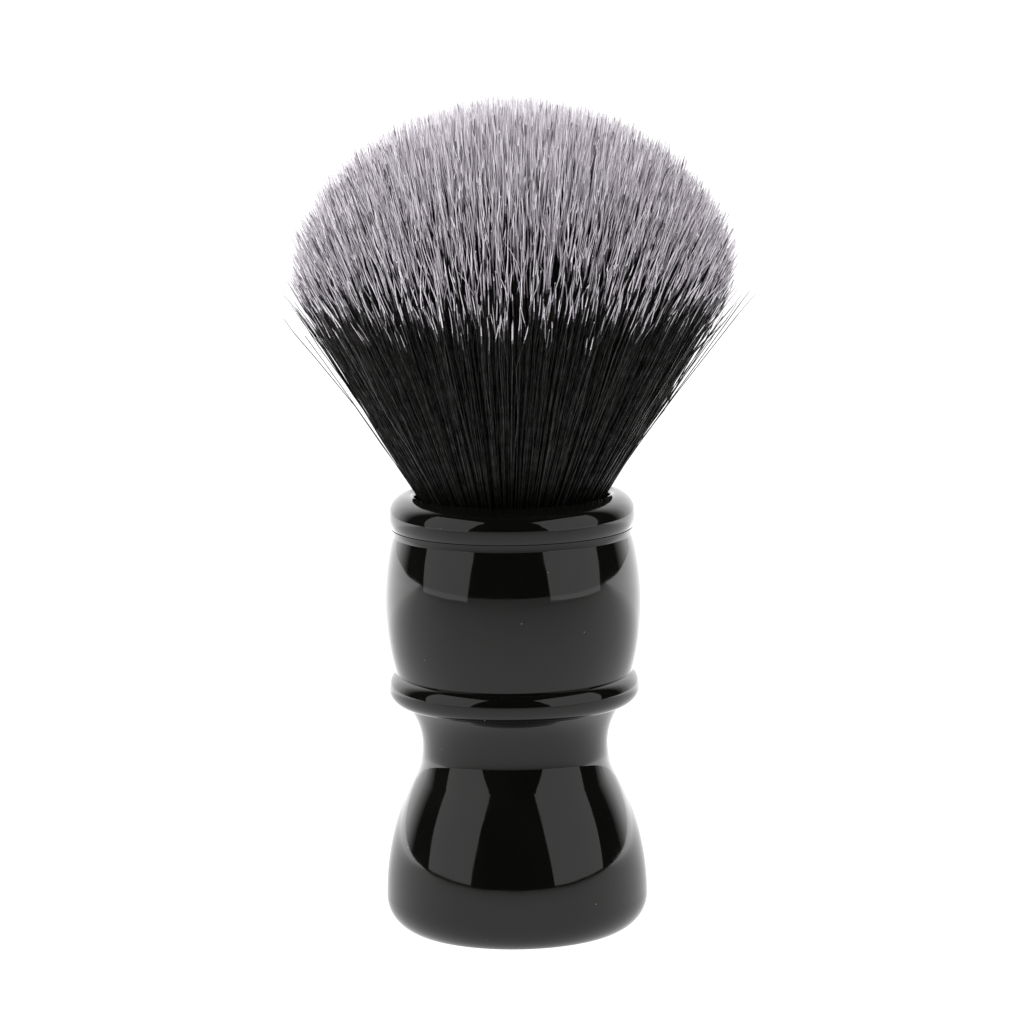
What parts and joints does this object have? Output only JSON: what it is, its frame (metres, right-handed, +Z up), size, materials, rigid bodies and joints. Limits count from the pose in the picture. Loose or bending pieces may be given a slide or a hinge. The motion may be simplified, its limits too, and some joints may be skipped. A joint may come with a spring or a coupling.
{
  "type": "shaving brush",
  "caption": "Shaving brush: glossy black turned handle with a rounded lip, a raised ring and a waisted base, and a fan-shaped knot of dark bristles with pale tips that splay.",
  "frame": {"origin": "centre of the flat foot of the handle, on the surface that the brush stands on", "axes": "+Z up along the brush's own axis, from the foot through the handle to the crown of the bristles; +X and +Y are any two square directions, because the shape is round"},
  "size_m": [0.0562, 0.0562, 0.108],
  "materials": {
    "handle_resin": "polished black resin",
    "bristles": "fine synthetic filament, near-black with pale mauve-grey tips",
    "binding_thread": "waxed thread",
    "cup_plastic": "moulded, satin",
    "potting_epoxy": "cast resin",
    "adhesive": "cured glue"
  },
  "bodies": {
    "grip": {"handle": "handle_resin", "socket_adhesive": "adhesive", "knot_cup": "cup_plastic", "knot_plug": "potting_epoxy", "knot_binding": "binding_thread", "bristle_core": "bristles"},
    "inner_tuft_1": {"inner_tuft_1": "bristles"},
    "inner_tuft_2": {"inner_tuft_2": "bristles"},
    "inner_tuft_3": {"inner_tuft_3": "bristles"},
    "inner_tuft_4": {"inner_tuft_4": "bristles"},
    "inner_tuft_5": {"inner_tuft_5": "bristles"},
    "inner_tuft_6": {"inner_tuft_6": "bristles"},
    "outer_tuft_1": {"outer_tuft_1": "bristles"},
    "outer_tuft_2": {"outer_tuft_2": "bristles"},
    "outer_tuft_3": {"outer_tuft_3": "bristles"},
    "outer_tuft_4": {"outer_tuft_4": "bristles"},
    "outer_tuft_5": {"outer_tuft_5": "bristles"},
    "outer_tuft_6": {"outer_tuft_6": "bristles"},
    "outer_tuft_7": {"outer_tuft_7": "bristles"},
    "outer_tuft_8": {"outer_tuft_8": "bristles"},
    "outer_tuft_9": {"outer_tuft_9": "bristles"},
    "outer_tuft_10": {"outer_tuft_10": "bristles"},
    "outer_tuft_11": {"outer_tuft_11": "bristles"},
    "outer_tuft_12": {"outer_tuft_12": "bristles"}
  },
  "joints": [
    {"name": "bristle_splay", "type": "hinge", "parent": "grip", "child": "outer_tuft_1", "pos_m": [0.01207, 0.00324, 0.0575], "axis": [-0.2588, 0.9659, 0], "range_deg": [0, 28], "stiffness_Nm_per_rad": 0.015},
    {"name": "outer_splay_2", "type": "hinge", "parent": "grip", "child": "outer_tuft_2", "pos_m": [0.00884, 0.00884, 0.0575], "axis": [-0.7071, 0.7071, 0], "range_deg": [0, 28], "stiffness_Nm_per_rad": 0.015},
    {"name": "outer_splay_3", "type": "hinge", "parent": "grip", "child": "outer_tuft_3", "pos_m": [0.00324, 0.01207, 0.0575], "axis": [-0.9659, 0.2588, 0], "range_deg": [0, 28], "stiffness_Nm_per_rad": 0.015},
    {"name": "outer_splay_4", "type": "hinge", "parent": "grip", "child": "outer_tuft_4", "pos_m": [-0.00324, 0.01207, 0.0575], "axis": [-0.9659, -0.2588, 0], "range_deg": [0, 28], "stiffness_Nm_per_rad": 0.015},
    {"name": "outer_splay_5", "type": "hinge", "parent": "grip", "child": "outer_tuft_5", "pos_m": [-0.00884, 0.00884, 0.0575], "axis": [-0.7071, -0.7071, 0], "range_deg": [0, 28], "stiffness_Nm_per_rad": 0.015},
    {"name": "outer_splay_6", "type": "hinge", "parent": "grip", "child": "outer_tuft_6", "pos_m": [-0.01207, 0.00324, 0.0575], "axis": [-0.2588, -0.9659, 0], "range_deg": [0, 28], "stiffness_Nm_per_rad": 0.015},
    {"name": "outer_splay_7", "type": "hinge", "parent": "grip", "child": "outer_tuft_7", "pos_m": [-0.01207, -0.00324, 0.0575], "axis": [0.2588, -0.9659, 0], "range_deg": [0, 28], "stiffness_Nm_per_rad": 0.015},
    {"name": "outer_splay_8", "type": "hinge", "parent": "grip", "child": "outer_tuft_8", "pos_m": [-0.00884, -0.00884, 0.0575], "axis": [0.7071, -0.7071, 0], "range_deg": [0, 28], "stiffness_Nm_per_rad": 0.015},
    {"name": "outer_splay_9", "type": "hinge", "parent": "grip", "child": "outer_tuft_9", "pos_m": [-0.00324, -0.01207, 0.0575], "axis": [0.9659, -0.2588, 0], "range_deg": [0, 28], "stiffness_Nm_per_rad": 0.015},
    {"name": "outer_splay_10", "type": "hinge", "parent": "grip", "child": "outer_tuft_10", "pos_m": [0.00324, -0.01207, 0.0575], "axis": [0.9659, 0.2588, 0], "range_deg": [0, 28], "stiffness_Nm_per_rad": 0.015},
    {"name": "outer_splay_11", "type": "hinge", "parent": "grip", "child": "outer_tuft_11", "pos_m": [0.00884, -0.00884, 0.0575], "axis": [0.7071, 0.7071, 0], "range_deg": [0, 28], "stiffness_Nm_per_rad": 0.015},
    {"name": "outer_splay_12", "type": "hinge", "parent": "grip", "child": "outer_tuft_12", "pos_m": [0.01207, -0.00324, 0.0575], "axis": [0.2588, 0.9659, 0], "range_deg": [0, 28], "stiffness_Nm_per_rad": 0.015},
    {"name": "inner_splay_1", "type": "hinge", "parent": "grip", "child": "inner_tuft_1", "pos_m": [0.00701, 0.00405, 0.0574], "axis": [-0.5, 0.866, 0], "range_deg": [0, 14], "stiffness_Nm_per_rad": 0.015},
    {"name": "inner_splay_2", "type": "hinge", "parent": "grip", "child": "inner_tuft_2", "pos_m": [0, 0.0081, 0.0574], "axis": [-1, 0, 0], "range_deg": [0, 14], "stiffness_Nm_per_rad": 0.015},
    {"name": "inner_splay_3", "type": "hinge", "parent": "grip", "child": "inner_tuft_3", "pos_m": [-0.00701, 0.00405, 0.0574], "axis": [-0.5, -0.866, 0], "range_deg": [0, 14], "stiffness_Nm_per_rad": 0.015},
    {"name": "inner_splay_4", "type": "hinge", "parent": "grip", "child": "inner_tuft_4", "pos_m": [-0.00701, -0.00405, 0.0574], "axis": [0.5, -0.866, 0], "range_deg": [0, 14], "stiffness_Nm_per_rad": 0.015},
    {"name": "inner_splay_5", "type": "hinge", "parent": "grip", "child": "inner_tuft_5", "pos_m": [0, -0.0081, 0.0574], "axis": [1, 0, 0], "range_deg": [0, 14], "stiffness_Nm_per_rad": 0.015},
    {"name": "inner_splay_6", "type": "hinge", "parent": "grip", "child": "inner_tuft_6", "pos_m": [0.00701, -0.00405, 0.0574], "axis": [0.5, 0.866, 0], "range_deg": [0, 14], "stiffness_Nm_per_rad": 0.015}
  ],
  "couplings": [
    {"joint": "outer_splay_2", "follows": "bristle_splay", "ratio": 1},
    {"joint": "outer_splay_3", "follows": "bristle_splay", "ratio": 1},
    {"joint": "outer_splay_4", "follows": "bristle_splay", "ratio": 1},
    {"joint": "outer_splay_5", "follows": "bristle_splay", "ratio": 1},
    {"joint": "outer_splay_6", "follows": "bristle_splay", "ratio": 1},
    {"joint": "outer_splay_7", "follows": "bristle_splay", "ratio": 1},
    {"joint": "outer_splay_8", "follows": "bristle_splay", "ratio": 1},
    {"joint": "outer_splay_9", "follows": "bristle_splay", "ratio": 1},
    {"joint": "outer_splay_10", "follows": "bristle_splay", "ratio": 1},
    {"joint": "outer_splay_11", "follows": "bristle_splay", "ratio": 1},
    {"joint": "outer_splay_12", "follows": "bristle_splay", "ratio": 1},
    {"joint": "inner_splay_1", "follows": "bristle_splay", "ratio": 0.5},
    {"joint": "inner_splay_2", "follows": "bristle_splay", "ratio": 0.5},
    {"joint": "inner_splay_3", "follows": "bristle_splay", "ratio": 0.5},
    {"joint": "inner_splay_4", "follows": "bristle_splay", "ratio": 0.5},
    {"joint": "inner_splay_5", "follows": "bristle_splay", "ratio": 0.5},
    {"joint": "inner_splay_6", "follows": "bristle_splay", "ratio": 0.5}
  ]
}
